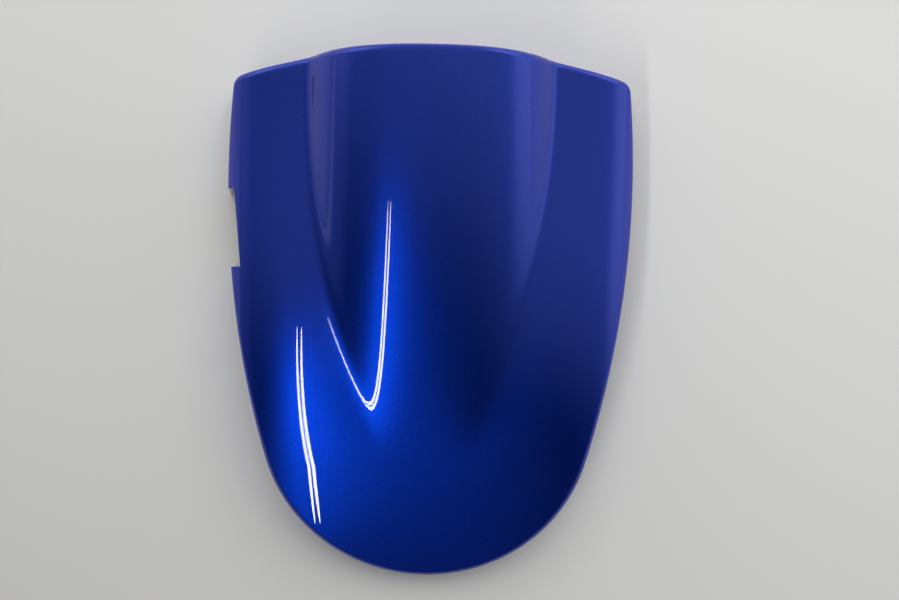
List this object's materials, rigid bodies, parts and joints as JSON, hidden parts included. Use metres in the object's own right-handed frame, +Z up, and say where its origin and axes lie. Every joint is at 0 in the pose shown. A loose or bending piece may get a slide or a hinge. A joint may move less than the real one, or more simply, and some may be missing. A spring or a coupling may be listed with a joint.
{
  "type": "seat cowl",
  "caption": "Moulded painted motorbike seat cowl: a hollow tapering shell with a central hump between creases, side wings, upright walls, a notch in the left edge and a round tail.",
  "frame": {"origin": "middle of the rim's bounding box, on the plane that the rim rests on", "axes": "+X to the rider's right, +Y towards the front of the machine, +Z up"},
  "size_m": [0.263, 0.327, 0.0901],
  "materials": {
    "cowl_paint": "deep blue metallic paint under clear coat on moulded plastic, bare dark plastic inside"
  },
  "bodies": {
    "root": {"seat_cowl": "cowl_paint"}
  },
  "joints": []
}
